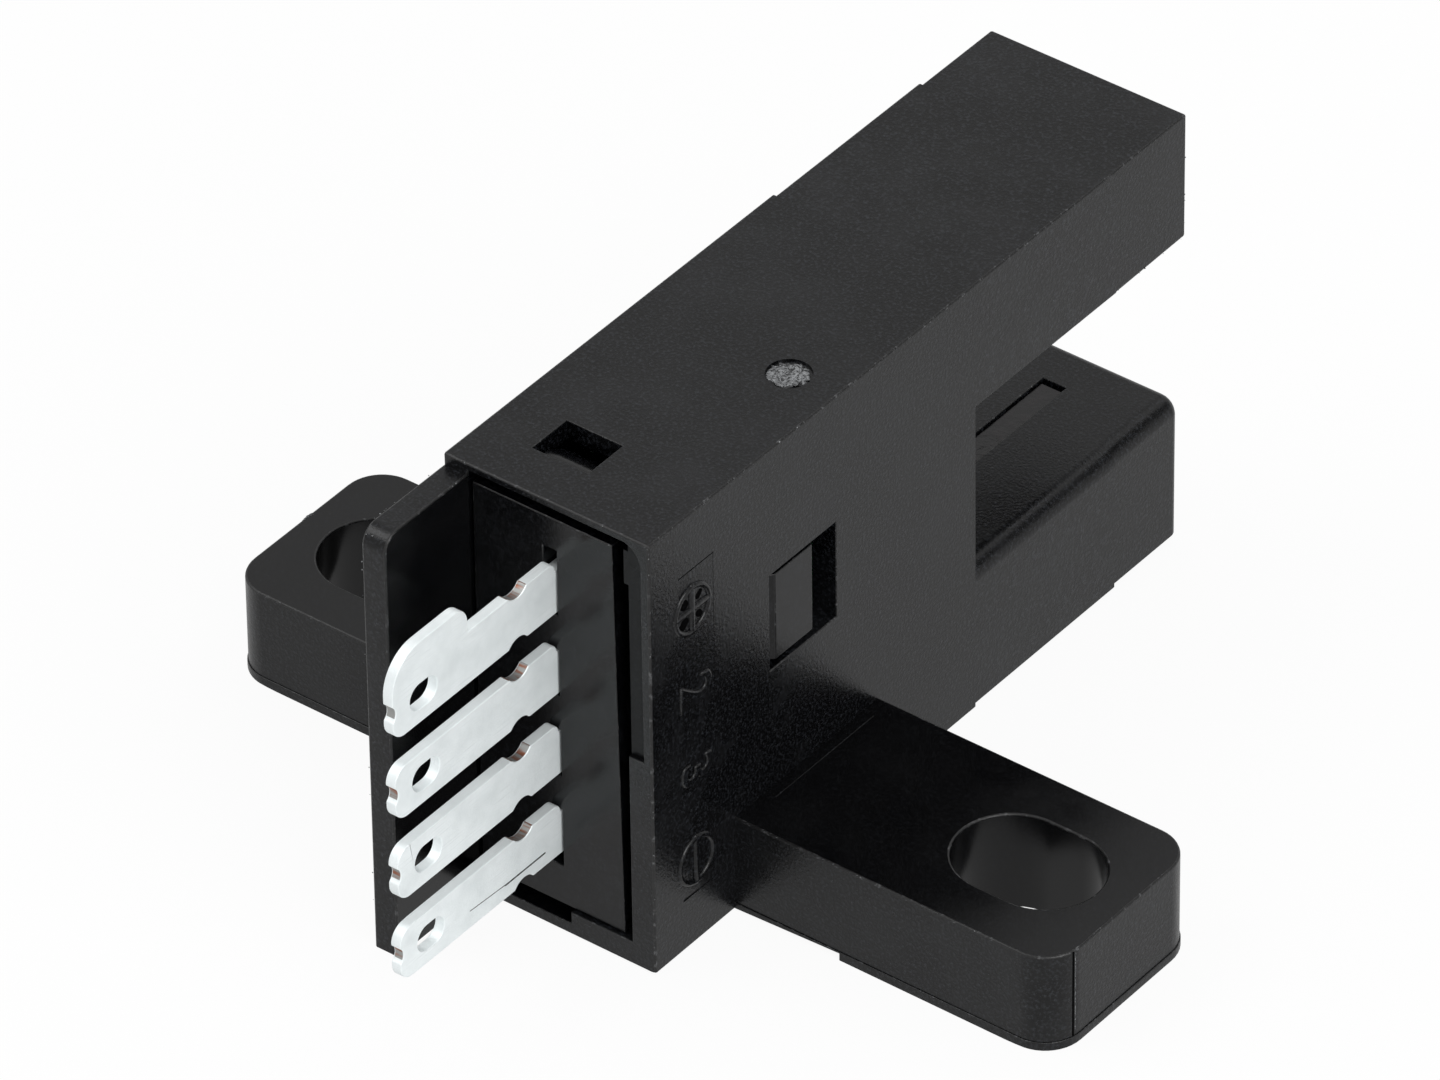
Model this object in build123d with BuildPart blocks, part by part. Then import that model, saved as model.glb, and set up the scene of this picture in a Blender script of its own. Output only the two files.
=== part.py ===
"""Slot-type photo interrupter with a T-shaped case, two slotted mounting ears and four blade terminals.

Frame: the origin lies on the mounting face, midway between the two mounting holes. +X runs along the
ears, +Y from the terminals to the open end of the sensing slot, and +Z up through the two prongs.
All sizes are in millimetres.
"""
from build123d import *
import os

# Sensing slot and outside of the case
slot_gap = 5.0              # clear height between the prongs
optical_axis_height = 7.0   # middle of the slot above the mounting face
slot_depth = 9.0            # open end of the slot to its floor
upper_prong = 3.9           # thickness of the prong above the slot
case_width = 6.3
body_length = 13.2          # terminal end face to the floor of the slot
end_to_holes = 6.2          # terminal end face to the line of the mounting holes
mould_step = 0.05           # each length of the mould is this much smaller than the one before
last_step_back = 3.0        # second mould step, back from the prong tips
lower_tip_back = 0.15       # the lower prong is this much shorter than the upper one
prong_round = 0.5           # long upper edges of the lower prong
prong_tip_round = 0.3       # end edges of the lower prong

# Walls of the case
side_wall = 0.73
roof_wall = 0.55
floor_wall = 0.67
slot_wall = 0.7
tip_wall = 0.7

# Mounting ears
hole_pitch = 20.0
hole_length = 4.1
hole_width = 3.1
hole_to_ear_end = 3.0       # middle of a hole to the end of its ear
ear_depth = 6.0
ear_top = 2.95
ear_corner = 1.1
pad_length = 6.6            # length of the pad under each ear
pad_height = 0.26
pad_step = 0.22             # underside of the ear beside the pad, above the mounting face
ear_inset = 0.03            # above its pad the ear is this much smaller all round
case_lift = 0.08            # the case floor hangs this far above the mounting face

# Terminal end: guard wall, lip, lead-in under the roof, corner rib and locating notch
guard_reach = 3.22
guard_drop = 0.35           # top of the guard wall below the top of the case
guard_corner = 0.5
lip_side = 0.27             # outer skin left beside the relief
lip_top = 0.2               # outer skin left above the relief
relief_depth = 0.13
relief_low = 6.6
relief_corner = 0.6
lead_in_depth = 0.6
rib_width = 0.14
rib_height = 1.03
rib_length = 2.0
notch_left = -2.1
notch_right = 0.5
notch_drop = 0.35
notch_depth = 0.6

# Windows for the snap noses, and the gate and insert marks of the mould
side_window_front = 4.75    # from the terminal end face
side_window_length = 2.7
side_window_low = 6.6
side_window_height = 2.95
top_window_front = 1.46
top_window_length = 1.36
top_window_width = 1.72
top_window_centre = -0.68
gate_mark_x = 1.67
gate_mark_back = 7.55       # from the terminal end face
gate_mark_diameter = 1.2
gate_mark_depth = 0.06
insert_front = 1.15
insert_length = 1.38
insert_low = 1.6
insert_top = 11.68
insert_depth = 0.03

# Light slits in the two prongs, and the filters that fill them
slit_x = 0.14
slit_width = 0.72
slit_length = 4.2
slit_from_tip = 1.58
filter_recess = 0.1
filter_side_gap = 0.04
filter_end_gap = 0.13
filter_flange = 0.4         # thickness of the foot inside the prong
filter_overlap = 0.5        # the foot reaches this far round the slit

# Terminal base
fit = 0.05                  # running clearance of the pieces inside the case
plate_recess = 0.12
plate_thickness = 0.85
plate_gap_right = 0.31      # at the foot of the plate
plate_taper = 0.18          # the plate is this much narrower at its top
core_width = 2.4
core_to_board = 1.5         # room for the parts on the front of the circuit board
core_roof_gap = 0.7
arm_thickness = 0.6
nose_gap = 0.15             # between nose and window, along Y and Z
nose_flat = 1.64
nose_ramp = 0.55
nose_chamfer = 0.15
nose_recess = 0.05          # the nose ends this far inside the case's surface
top_arm_thickness = 0.5
top_nose_flat = 0.3
top_nose_ramp = 0.6
top_nose_recess = 0.25

# Terminals
terminal_count = 4
row_drop = 0.07             # middle of the row below the optical axis
terminal_pitch = 2.5
blade_thickness = 0.3
blade_height = 1.58
blade_reach = 6.22          # tip in front of the terminal end face
blade_seat = 4.0            # shoulder behind the terminal end face
root_step = 0.25            # upper edge of the blade drops this much where it enters the plate
root_round = 0.22
end_slot_room = 0.38        # open slot in the plate past the outermost blades
eyelet_length = 1.05
eyelet_width = 0.76
eyelet_back = 1.2           # middle of the eyelet from the tip
neck_from_end = 1.35        # middle of the neck in front of the terminal end face
neck_radius = 0.45
neck_depth = 0.18
tip_round = 0.45
tip_nick_radius = 0.3
tip_nick_depth = 0.13
tip_nick_rise = 0.05
lug_length = 2.94           # raised part of the uppermost terminal
lug_rise = 0.85
lug_front_round = 1.1
lug_back_round = 0.5
tail_height = 0.8
pin_height = 0.5
pin_stub = 0.5              # past the circuit board

# Circuit board
board_thickness = 0.8
pad_hole_gap = 0.05

# Emitter and receiver in the prongs
package_side_gap = 0.27     # to the nearer side wall
package_length = 3.4
package_edge = 0.15
lens_diameter = 2.0
lens_height = 0.6
lens_gap = 0.05
lead_pitch = 1.27
lead_from_wall = 0.6        # middle of the leads from the outer wall of the prong
lead_thickness = 0.3
lead_height = 0.4
lead_dam_width = 0.7
lead_dam_length = 0.5

# Small parts on the circuit board
chip_length = 1.6
chip_width = 0.8
chip_cap = 0.3
chip_lip = 0.04             # the body between the end caps is this much smaller all round
resistor_height = 0.45
capacitor_height = 0.8
lamp_base = 0.4
lamp_lens = 0.35
lamp_taper = 12             # degrees
transistor_length = 1.6
transistor_width = 0.8
transistor_height = 0.7
transistor_foot = 0.4
transistor_foot_pitch = 1.0
diode_length = 1.7
diode_width = 1.25
diode_height = 0.9
diode_foot = 0.3
foot_width = 0.3
foot_thickness = 0.15
small_part_side = 1.25      # how far the small parts sit from the middle of the board

# Levels and planes of the case
ear_span = hole_pitch + 2 * hole_to_ear_end
end_y = -end_to_holes
slot_floor_y = end_y + body_length
tip_y = slot_floor_y + slot_depth
lower_tip_y = tip_y - lower_tip_back
last_step_y = tip_y - last_step_back
slot_low = optical_axis_height - slot_gap / 2
slot_high = optical_axis_height + slot_gap / 2
case_top = slot_high + upper_prong
inside_x = case_width / 2 - side_wall
inside_floor = case_lift + floor_wall
inside_roof = case_top - roof_wall
lower_tunnel_roof = slot_low - slot_wall
upper_tunnel_floor = slot_high + slot_wall
slit_middle_y = tip_y - slit_from_tip - slit_length / 2

# Places of the terminal base and its snap noses
plate_front_y = end_y + plate_recess
plate_back_y = plate_front_y + plate_thickness
plate_left_x = fit - inside_x
plate_right_x = inside_x - plate_gap_right
arm_x = inside_x - fit
nose_x = case_width / 2 - nose_recess
nose_front_y = end_y + side_window_front + nose_gap
nose_back_y = nose_front_y + nose_flat
arm_back_y = nose_back_y + nose_ramp
top_arm_z = inside_roof - fit
top_nose_z = case_top - top_nose_recess
top_nose_front_y = end_y + top_window_front + nose_gap
top_nose_back_y = top_nose_front_y + top_nose_flat

# The board lies behind the snap arms, with room for its flat parts; the terminals run from it
board_front_y = arm_back_y + fit + resistor_height
board_back_y = board_front_y + board_thickness
core_back_y = board_front_y - core_to_board
blade_seat_y = end_y + blade_seat
blade_tip_y = end_y - blade_reach
row_middle = optical_axis_height - row_drop
row_top = row_middle + terminal_pitch * (terminal_count - 1) / 2
terminal_heights = [row_top - terminal_pitch * step for step in range(terminal_count)]

# Emitter and receiver, each between the outer wall of its prong and its filter
package_width = 2 * (inside_x - slit_x - package_side_gap)
package_back_y = slit_middle_y - package_length / 2
lead_length = package_back_y - board_front_y + pin_stub
receiver_body = lower_tunnel_roof - filter_flange - lens_gap - lens_height - inside_floor
emitter_body = inside_roof - upper_tunnel_floor - filter_flange - lens_gap - lens_height
receiver_lead_z = inside_floor + lead_from_wall
emitter_lead_z = inside_roof - lead_from_wall
receiver_lead_x = [slit_x + lead_pitch * step for step in (-1, 0, 1)]
emitter_lead_x = [slit_x + lead_pitch * step for step in (-0.5, 0.5)]
leads = [
    ("receiver_supply_lead", receiver_lead_x[0], receiver_lead_z),
    ("receiver_output_lead", receiver_lead_x[1], receiver_lead_z),
    ("receiver_ground_lead", receiver_lead_x[2], receiver_lead_z),
    ("emitter_anode_lead", emitter_lead_x[0], emitter_lead_z),
    ("emitter_cathode_lead", emitter_lead_x[1], emitter_lead_z),
]

os.makedirs("parts", exist_ok=True)


def length_of_case(width, low, high, y_from, y_to, mode=Mode.ADD):
    """Adds or cuts a rectangular length that is centred on X and runs along Y."""
    with Locations((0, y_from, low)):
        Box(width, y_to - y_from, high - low, align=(Align.CENTER, Align.MIN, Align.MIN), mode=mode)


def save(part, name):
    """Labels a finished piece and writes it to its own file."""
    part.label = name
    export_step(part, f"parts/{name}.step")


# Case, moulded in one piece with its ears and guard wall
prong_lengths = [
    (slot_floor_y, last_step_y, last_step_y, mould_step),
    (last_step_y, tip_y, lower_tip_y, 2 * mould_step),
]
with BuildPart() as housing:
    # Ears on their pads; between the pads the underside slopes down to the floor of the case
    with BuildSketch(Plane.XY):
        RectangleRounded(ear_span, ear_depth, ear_corner)
    extrude(amount=pad_height)
    with BuildSketch(Plane.XY.offset(pad_height)):
        RectangleRounded(ear_span - 2 * ear_inset, ear_depth - 2 * ear_inset, ear_corner - ear_inset)
    extrude(amount=ear_top - pad_height)
    pad_front_x = ear_span / 2 - pad_length
    with BuildSketch(Plane.XZ.offset(-ear_depth / 2)):
        with BuildLine():
            Polyline(
                (0, 0),
                (pad_front_x, 0),
                (pad_front_x, pad_step),
                (case_width / 2, case_lift),
                (0, case_lift),
                close=True,
            )
        make_face()
        mirror(about=Plane.YZ)
    extrude(amount=ear_depth, mode=Mode.SUBTRACT)
    with BuildSketch(Plane.XY):
        with GridLocations(hole_pitch, 0, 2, 1):
            SlotOverall(hole_length, hole_width)
    extrude(amount=ear_top, mode=Mode.SUBTRACT)

    # Body and the two prongs
    length_of_case(case_width, case_lift, case_top, end_y, slot_floor_y)
    for y_from, upper_to, lower_to, inset in prong_lengths:
        length_of_case(case_width - 2 * inset, slot_high, case_top - inset, y_from, upper_to)
        with BuildSketch(Plane.XZ.offset(-y_from)) as lower_prong:
            with Locations((0, (case_lift + inset + slot_low) / 2)):
                Rectangle(case_width - 2 * inset, slot_low - case_lift - inset)
            fillet(lower_prong.vertices().group_by(Axis.Y)[-1], prong_round)
        extrude(amount=y_from - lower_to)
    tip_edges = housing.faces().filter_by(Axis.Y).sort_by(Axis.Y)[-2:].sort_by(Axis.Z)[0].edges()
    fillet(tip_edges.sort_by(Axis.Z)[1:], prong_tip_round)

    # Guard wall beside the terminals, in line with the side wall
    with BuildSketch(Plane.YZ.offset(-case_width / 2)) as guard:
        with Locations((end_y - guard_reach, 0)):
            Rectangle(guard_reach, case_top - guard_drop, align=(Align.MIN, Align.MIN))
        fillet(guard.vertices().group_by(Axis.X)[0].sort_by(Axis.Y)[-1], guard_corner)
    extrude(amount=side_wall)

    # Inside: the chamber for the base and board, and a tunnel in each prong
    inside = 2 * inside_x
    length_of_case(inside, inside_floor, inside_roof, end_y, slot_floor_y - slot_wall, Mode.SUBTRACT)
    length_of_case(inside, inside_floor, lower_tunnel_roof, end_y, lower_tip_y - tip_wall, Mode.SUBTRACT)
    length_of_case(inside, upper_tunnel_floor, inside_roof, end_y, tip_y - tip_wall, Mode.SUBTRACT)

    # Light slits, both cut along the optical axis
    with BuildSketch(Plane.XY.offset(lower_tunnel_roof)):
        with Locations((slit_x, slit_middle_y)):
            Rectangle(slit_width, slit_length)
    extrude(amount=upper_tunnel_floor - lower_tunnel_roof, mode=Mode.SUBTRACT)

    # Windows for the snap noses: a pair through the sides and one through the roof
    with BuildSketch(Plane.YZ.offset(-case_width / 2)):
        with Locations((end_y + side_window_front, side_window_low)):
            Rectangle(side_window_length, side_window_height, align=(Align.MIN, Align.MIN))
    extrude(amount=case_width, mode=Mode.SUBTRACT)
    with BuildSketch(Plane.XY.offset(inside_roof)):
        with Locations((top_window_centre, end_y + top_window_front)):
            Rectangle(top_window_width, top_window_length, align=(Align.CENTER, Align.MIN))
    extrude(amount=roof_wall, mode=Mode.SUBTRACT)

    # Relief that leaves a thin lip round the upper corner of the terminal end
    lip_x = case_width / 2 - lip_side
    lip_z = case_top - lip_top
    with BuildSketch(Plane.XZ.offset(-end_y)) as relief:
        with Locations((-inside_x, relief_low)):
            Rectangle(lip_x + inside_x, lip_z - relief_low, align=(Align.MIN, Align.MIN))
        fillet(relief.vertices().group_by(Axis.X)[-1].sort_by(Axis.Y)[-1], relief_corner)
    extrude(amount=-relief_depth, mode=Mode.SUBTRACT)

    # Sloping lead-in under the roof, a short rib beside it and the locating notch in the floor
    with BuildSketch(Plane.YZ.offset(-inside_x)):
        with BuildLine():
            Polyline((end_y, inside_roof), (end_y, lip_z), (end_y + lead_in_depth, inside_roof), close=True)
        make_face()
    extrude(amount=2 * inside_x, mode=Mode.SUBTRACT)
    with Locations((inside_x, end_y + relief_depth, inside_roof)):
        Box(rib_width, rib_length, rib_height, align=(Align.MAX, Align.MIN, Align.MAX))
    with BuildSketch(Plane.XZ.offset(-end_y)):
        with Locations((notch_left, inside_floor - notch_drop)):
            Rectangle(notch_right - notch_left, notch_drop, align=(Align.MIN, Align.MIN))
    extrude(amount=-notch_depth, mode=Mode.SUBTRACT)

    # Gate mark on the roof and the outline of the mould insert on the side
    with BuildSketch(Plane.XY.offset(case_top)):
        with Locations((gate_mark_x, end_y + gate_mark_back)):
            Circle(gate_mark_diameter / 2)
    extrude(amount=-gate_mark_depth, mode=Mode.SUBTRACT)
    with BuildSketch(Plane.YZ.offset(case_width / 2)):
        with Locations((end_y + insert_front, insert_low)):
            Rectangle(insert_length, insert_top - insert_low, align=(Align.MIN, Align.MIN))
    extrude(amount=-insert_depth, mode=Mode.SUBTRACT)
save(housing.part, "housing")

# Terminal base: front plate, core that holds the blades, and three snap noses
with BuildPart() as terminal_base:
    with BuildSketch(Plane.XZ.offset(-plate_front_y)):
        with BuildLine():
            Polyline(
                (plate_left_x, inside_floor + fit),
                (plate_right_x, inside_floor + fit),
                (plate_right_x - plate_taper, inside_roof - fit),
                (plate_left_x, inside_roof - fit),
                close=True,
            )
        make_face()
    extrude(amount=-plate_thickness)
    length_of_case(core_width, inside_floor + fit, inside_roof - core_roof_gap, plate_back_y, core_back_y)

    # Snap arms along both sides, with a chamfered nose on each
    with BuildSketch(Plane.XY.offset(side_window_low + nose_gap)):
        with BuildLine():
            Polyline(
                (arm_x - arm_thickness, plate_back_y),
                (arm_x - arm_thickness, arm_back_y),
                (arm_x, arm_back_y),
                (nose_x, nose_back_y),
                (nose_x, nose_front_y + nose_chamfer),
                (nose_x - nose_chamfer, nose_front_y),
                (arm_x, nose_front_y),
                (arm_x, plate_back_y),
                close=True,
            )
        make_face()
        mirror(about=Plane.YZ)
    extrude(amount=side_window_height - 2 * nose_gap)

    # Snap arm under the roof
    with BuildSketch(Plane.YZ.offset(top_window_centre - top_window_width / 2 + nose_gap)):
        with BuildLine():
            Polyline(
                (plate_back_y, top_arm_z - top_arm_thickness),
                (top_nose_back_y + top_nose_ramp, top_arm_z - top_arm_thickness),
                (top_nose_back_y + top_nose_ramp, top_arm_z),
                (top_nose_back_y, top_nose_z),
                (top_nose_front_y, top_nose_z),
                (top_nose_front_y, top_arm_z),
                (plate_back_y, top_arm_z),
                close=True,
            )
        make_face()
    extrude(amount=top_window_width - 2 * nose_gap)

    # Slots for the blades, lower behind their shoulders, and open past the outermost blades in the plate
    slot_width = blade_thickness + 2 * fit
    slot_half = blade_height / 2 + fit
    tail_half = tail_height / 2 + fit
    for height in terminal_heights:
        length_of_case(slot_width, height - slot_half, height + slot_half - root_step, plate_front_y,
                       blade_seat_y, Mode.SUBTRACT)
        length_of_case(slot_width, height - tail_half, height + tail_half, blade_seat_y, core_back_y,
                       Mode.SUBTRACT)
    for height, direction in [(terminal_heights[0], 1), (terminal_heights[-1], -1)]:
        open_end = height + direction * (blade_height / 2 + end_slot_room)
        length_of_case(slot_width, min(height, open_end), max(height, open_end), plate_front_y, plate_back_y,
                       Mode.SUBTRACT)
save(terminal_base.part, "terminal_base")

# Four stamped terminals; the uppermost has a raised lug
for number, height in enumerate(terminal_heights, start=1):
    half = blade_height / 2
    with BuildPart() as terminal:
        with BuildSketch(Plane.YZ) as outline:
            with Locations((blade_tip_y, height)):
                Rectangle(plate_front_y - blade_tip_y, blade_height, align=(Align.MIN, Align.CENTER))
            fillet(outline.vertices().group_by(Axis.X)[-1].sort_by(Axis.Y)[-1], root_round)
            with Locations((plate_front_y, height - half)):
                Rectangle(blade_seat_y - plate_front_y, blade_height - root_step,
                          align=(Align.MIN, Align.MIN))
            with Locations((blade_seat_y, height)):
                Rectangle(board_front_y - blade_seat_y, tail_height, align=(Align.MIN, Align.CENTER))
            with Locations((board_front_y, height)):
                Rectangle(board_thickness + pin_stub, pin_height, align=(Align.MIN, Align.CENTER))
            if number == 1:
                with Locations((blade_tip_y, height)):
                    Rectangle(lug_length, half + lug_rise, align=(Align.MIN, Align.MIN))
                fillet(outline.vertices().group_by(Axis.Y)[-1].sort_by(Axis.X)[-1], lug_back_round)
                fillet(outline.vertices().group_by(Axis.X)[0].sort_by(Axis.Y)[-1], lug_front_round)
                fillet(outline.vertices().group_by(Axis.X)[0].sort_by(Axis.Y)[0], tip_round)
            else:
                fillet(outline.vertices().group_by(Axis.X)[0], tip_round)
            with Locations((blade_tip_y + eyelet_back, height)):
                SlotOverall(eyelet_length, eyelet_width, mode=Mode.SUBTRACT)
            neck_centre = half + neck_radius - neck_depth
            with Locations((end_y - neck_from_end, height)):
                with GridLocations(0, 2 * neck_centre, 1, 2):
                    Circle(neck_radius, mode=Mode.SUBTRACT)
            with Locations((blade_tip_y + tip_nick_depth - tip_nick_radius, height + tip_nick_rise)):
                Circle(tip_nick_radius, mode=Mode.SUBTRACT)
        extrude(amount=blade_thickness / 2, both=True)
    save(terminal.part, f"terminal_{number}")

# Circuit board across the chamber, with holes for the terminals and the leads
with BuildPart() as circuit_board:
    length_of_case(2 * (inside_x - fit), inside_floor + fit, inside_roof - fit, board_front_y, board_back_y)
    with BuildSketch(Plane.XZ.offset(-board_front_y)):
        with Locations([(0, height) for height in terminal_heights]):
            Rectangle(blade_thickness + 2 * pad_hole_gap, pin_height + 2 * pad_hole_gap)
        with Locations([(x, z) for _, x, z in leads]):
            Rectangle(lead_thickness + 2 * pad_hole_gap, lead_height + 2 * pad_hole_gap)
    extrude(amount=-board_thickness, mode=Mode.SUBTRACT)
save(circuit_board.part, "circuit_board")

# Emitter and receiver: a moulded block on the outer wall of its prong, with a lens towards the slit
packages = [
    ("receiver_package", inside_floor, receiver_body, 1),
    ("emitter_package", inside_roof, emitter_body, -1),
]
for name, base_z, thickness, upward in packages:
    with BuildPart() as package:
        with BuildSketch(Plane.XY.offset(base_z)):
            with Locations((slit_x, slit_middle_y)):
                Rectangle(package_width, package_length)
        extrude(amount=upward * thickness)
        chamfer(package.edges().filter_by(Axis.Z), package_edge)
        lens_base = base_z + upward * thickness
        lens_radius = lens_diameter / 2
        with BuildSketch(Plane((slit_x, slit_middle_y, lens_base), x_dir=(1, 0, 0), z_dir=(0, -upward, 0))):
            with BuildLine():
                Line((0, lens_height), (0, 0))
                Line((0, 0), (lens_radius, 0))
                TangentArc((0, lens_height), (lens_radius, 0), tangent=(1, 0))
            make_face()
        revolve(axis=Axis((slit_x, slit_middle_y, 0), (0, 0, 1)))
    save(package.part, name)

# Leads, straight from the packages through the circuit board
for name, x, z in leads:
    with BuildPart() as lead:
        with BuildSketch(Plane.XY.offset(z - lead_height / 2)):
            with Locations((x, package_back_y)):
                Rectangle(lead_thickness, lead_length, align=(Align.CENTER, Align.MAX))
                Rectangle(lead_dam_width, lead_dam_length, align=(Align.CENTER, Align.MAX))
        extrude(amount=lead_height)
    save(lead.part, name)

# Dark filters: a rib that fills the slit and a foot inside the prong
filters = [
    ("receiver_filter", lower_tunnel_roof, 1),
    ("emitter_filter", upper_tunnel_floor, -1),
]
for name, foot_z, upward in filters:
    with BuildPart() as light_filter:
        with BuildSketch(Plane.XY.offset(foot_z)):
            with Locations((slit_x, slit_middle_y)):
                Rectangle(slit_width + 2 * filter_overlap, slit_length + 2 * filter_overlap)
        extrude(amount=-upward * filter_flange)
        with BuildSketch(Plane.XY.offset(foot_z)):
            with Locations((slit_x, slit_middle_y - slit_length / 2 + filter_side_gap)):
                Rectangle(slit_width - 2 * filter_side_gap, slit_length - filter_side_gap - filter_end_gap,
                          align=(Align.CENTER, Align.MIN))
        extrude(amount=upward * (slot_wall - filter_recess))
    save(light_filter.part, name)

# Small parts on the circuit board, placed between the pins
high_gap = row_middle + terminal_pitch
middle_gap = row_middle
low_gap = row_middle - terminal_pitch

# Chips: two metal end caps, a little larger than the body between them
chips = [
    ("pull_up_resistor", small_part_side, high_gap, board_front_y, -resistor_height),
    ("emitter_resistor", small_part_side, low_gap, board_front_y, -resistor_height),
    ("lamp_resistor", -small_part_side, middle_gap, board_front_y, -resistor_height),
    ("supply_capacitor", -small_part_side, low_gap, board_back_y, capacitor_height),
]
for name, x, z, face_y, rise in chips:
    outward = 1 if rise > 0 else -1
    with BuildPart() as chip:
        with BuildSketch(Plane.XZ.offset(-face_y)):
            with Locations((x, z)):
                with GridLocations(0, chip_length - chip_cap, 1, 2):
                    Rectangle(chip_width, chip_cap)
        extrude(amount=-rise)
        with BuildSketch(Plane.XZ.offset(-(face_y + outward * chip_lip))):
            with Locations((x, z)):
                Rectangle(chip_width - 2 * chip_lip, chip_length - 2 * chip_lip)
        extrude(amount=-(rise - 2 * outward * chip_lip))
    save(chip.part, name)

# Indicator lamp high on the terminal side, with a lens on its chip carrier
lamp_z = inside_roof - 2 * fit - chip_length / 2
with BuildPart() as indicator_lamp:
    with BuildSketch(Plane.XZ.offset(-board_front_y)):
        with Locations((-small_part_side, lamp_z)):
            Rectangle(chip_width, chip_length)
    extrude(amount=lamp_base)
    with BuildSketch(Plane.XZ.offset(lamp_base - board_front_y)):
        with Locations((-small_part_side, lamp_z)):
            Rectangle(chip_width, chip_length - 2 * chip_cap)
    extrude(amount=lamp_lens, taper=lamp_taper)
save(indicator_lamp.part, "indicator_lamp")

# Output transistor and supply diode on the side away from the terminals
with BuildPart() as output_transistor:
    with BuildSketch(Plane.XZ.offset(-board_back_y)):
        with Locations((small_part_side, high_gap)):
            Rectangle(transistor_width, transistor_length)
    extrude(amount=-transistor_height)
    foot_x = (transistor_width + transistor_foot) / 2
    with BuildSketch(Plane.XZ.offset(-board_back_y)):
        with Locations(
            (small_part_side + foot_x, high_gap),
            (small_part_side - foot_x, high_gap + transistor_foot_pitch / 2),
            (small_part_side - foot_x, high_gap - transistor_foot_pitch / 2),
        ):
            Rectangle(transistor_foot, foot_width)
    extrude(amount=-foot_thickness)
save(output_transistor.part, "output_transistor")

with BuildPart() as supply_diode:
    with BuildSketch(Plane.XZ.offset(-board_back_y)):
        with Locations((small_part_side, low_gap)):
            Rectangle(diode_width, diode_length)
    extrude(amount=-diode_height)
    with BuildSketch(Plane.XZ.offset(-board_back_y)):
        with Locations((small_part_side, low_gap)):
            with GridLocations(0, diode_length + diode_foot, 1, 2):
                Rectangle(foot_width, diode_foot)
    extrude(amount=-foot_thickness)
save(supply_diode.part, "supply_diode")
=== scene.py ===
"""Finishes, small mould detail, stage and camera for a slot-type photo interrupter.

The origin lies on the mounting face, midway between the mounting holes. +X runs along the ears,
+Y from the terminals to the open end of the sensing slot, and +Z up through the two prongs.
"""
import random
from math import pi, radians
import bpy
from mathutils import Matrix, Vector, noise


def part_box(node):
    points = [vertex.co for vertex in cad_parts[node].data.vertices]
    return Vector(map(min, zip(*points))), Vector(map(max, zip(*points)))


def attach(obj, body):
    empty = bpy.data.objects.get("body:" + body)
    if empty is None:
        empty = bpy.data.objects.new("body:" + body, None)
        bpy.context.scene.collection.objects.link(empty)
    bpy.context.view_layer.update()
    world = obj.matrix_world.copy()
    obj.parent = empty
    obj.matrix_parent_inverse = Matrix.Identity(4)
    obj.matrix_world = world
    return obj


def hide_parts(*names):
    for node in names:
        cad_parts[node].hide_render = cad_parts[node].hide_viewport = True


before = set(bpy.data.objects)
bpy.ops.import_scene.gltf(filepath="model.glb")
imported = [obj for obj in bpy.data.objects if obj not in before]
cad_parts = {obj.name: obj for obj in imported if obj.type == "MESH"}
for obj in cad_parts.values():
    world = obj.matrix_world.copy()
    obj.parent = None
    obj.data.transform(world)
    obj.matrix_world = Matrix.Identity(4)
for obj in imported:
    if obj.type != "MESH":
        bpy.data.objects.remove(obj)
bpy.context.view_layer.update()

bl_info = {
    "name": "Photo interrupter",
    "version": (1, 0, 0),
    "blender": (4, 5, 0),
    "location": "3D View > Sidebar > Interrupter",
    "description": "Dresses the case, terminals and inner parts of a slot-type photo interrupter",
    "category": "Object",
}

MM = 0.001

# Places on the case, in metres. A pair whose name ends in X, Y or Z is a range along that axis, but
# PRONG_INSIDE_Z has one range for each prong. HOLE_REACH is half a hole's length and width, and
# MOULD_INSETS says how far the case steps in at each of MOULD_STEPS, from the full width
CASE_LOW, CASE_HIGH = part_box("housing")
CASE_TOP = CASE_HIGH.z
CASE_HALF_WIDTH = 3.15 * MM
CASE_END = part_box("terminal_base")[0].y - 0.12 * MM
CASE_FLOOR = 0.08 * MM
CASE_INSIDE_HALF_WIDTH = 2.9 * MM
CASE_INSIDE_Z = (0.3 * MM, CASE_TOP - 0.15 * MM)
LIP_Z = (0.35 * MM, 13.25 * MM)
RELIEF_DEPTH = 0.7 * MM
GUARD_END = CASE_LOW.y
GUARD_INNER_X = -2.42 * MM
GUARD_TOP = 13.05 * MM
EAR_TOP = 2.95 * MM
EAR_LEDGE = 0.26 * MM
PAD_FRONT_X = 6.4 * MM
HOLE_X = 10.0 * MM
HOLE_REACH = (2.06 * MM, 1.56 * MM)
SLOT_LOW, SLOT_HIGH = 4.5 * MM, 9.5 * MM
SLIT_X = (-0.23 * MM, 0.51 * MM)
SLIT_Y = (10.22 * MM, 14.42 * MM)
PRONG_INSIDE_HALF_WIDTH = 2.45 * MM
PRONG_INSIDE_Z = ((0.7 * MM, 4.45 * MM), (9.55 * MM, CASE_TOP - 0.15 * MM))
TOP_WINDOW_X = (-1.55 * MM, 0.19 * MM)
TOP_WINDOW_Y = (-4.75 * MM, -3.37 * MM)
SIDE_WINDOW_Y = (-1.46 * MM, 1.26 * MM)
SIDE_WINDOW_Z = (6.59 * MM, 9.56 * MM)
MOULD_STEPS = (7.0 * MM, 13.0 * MM)
MOULD_INSETS = (0.05 * MM, 0.1 * MM)
INSERT_Y = (-5.05 * MM, -3.67 * MM)
INSERT_Z = (1.6 * MM, 11.68 * MM)
INSERT_DEPTH = 0.03 * MM
INSERT_MIDDLE_Y = -4.52 * MM
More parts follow.
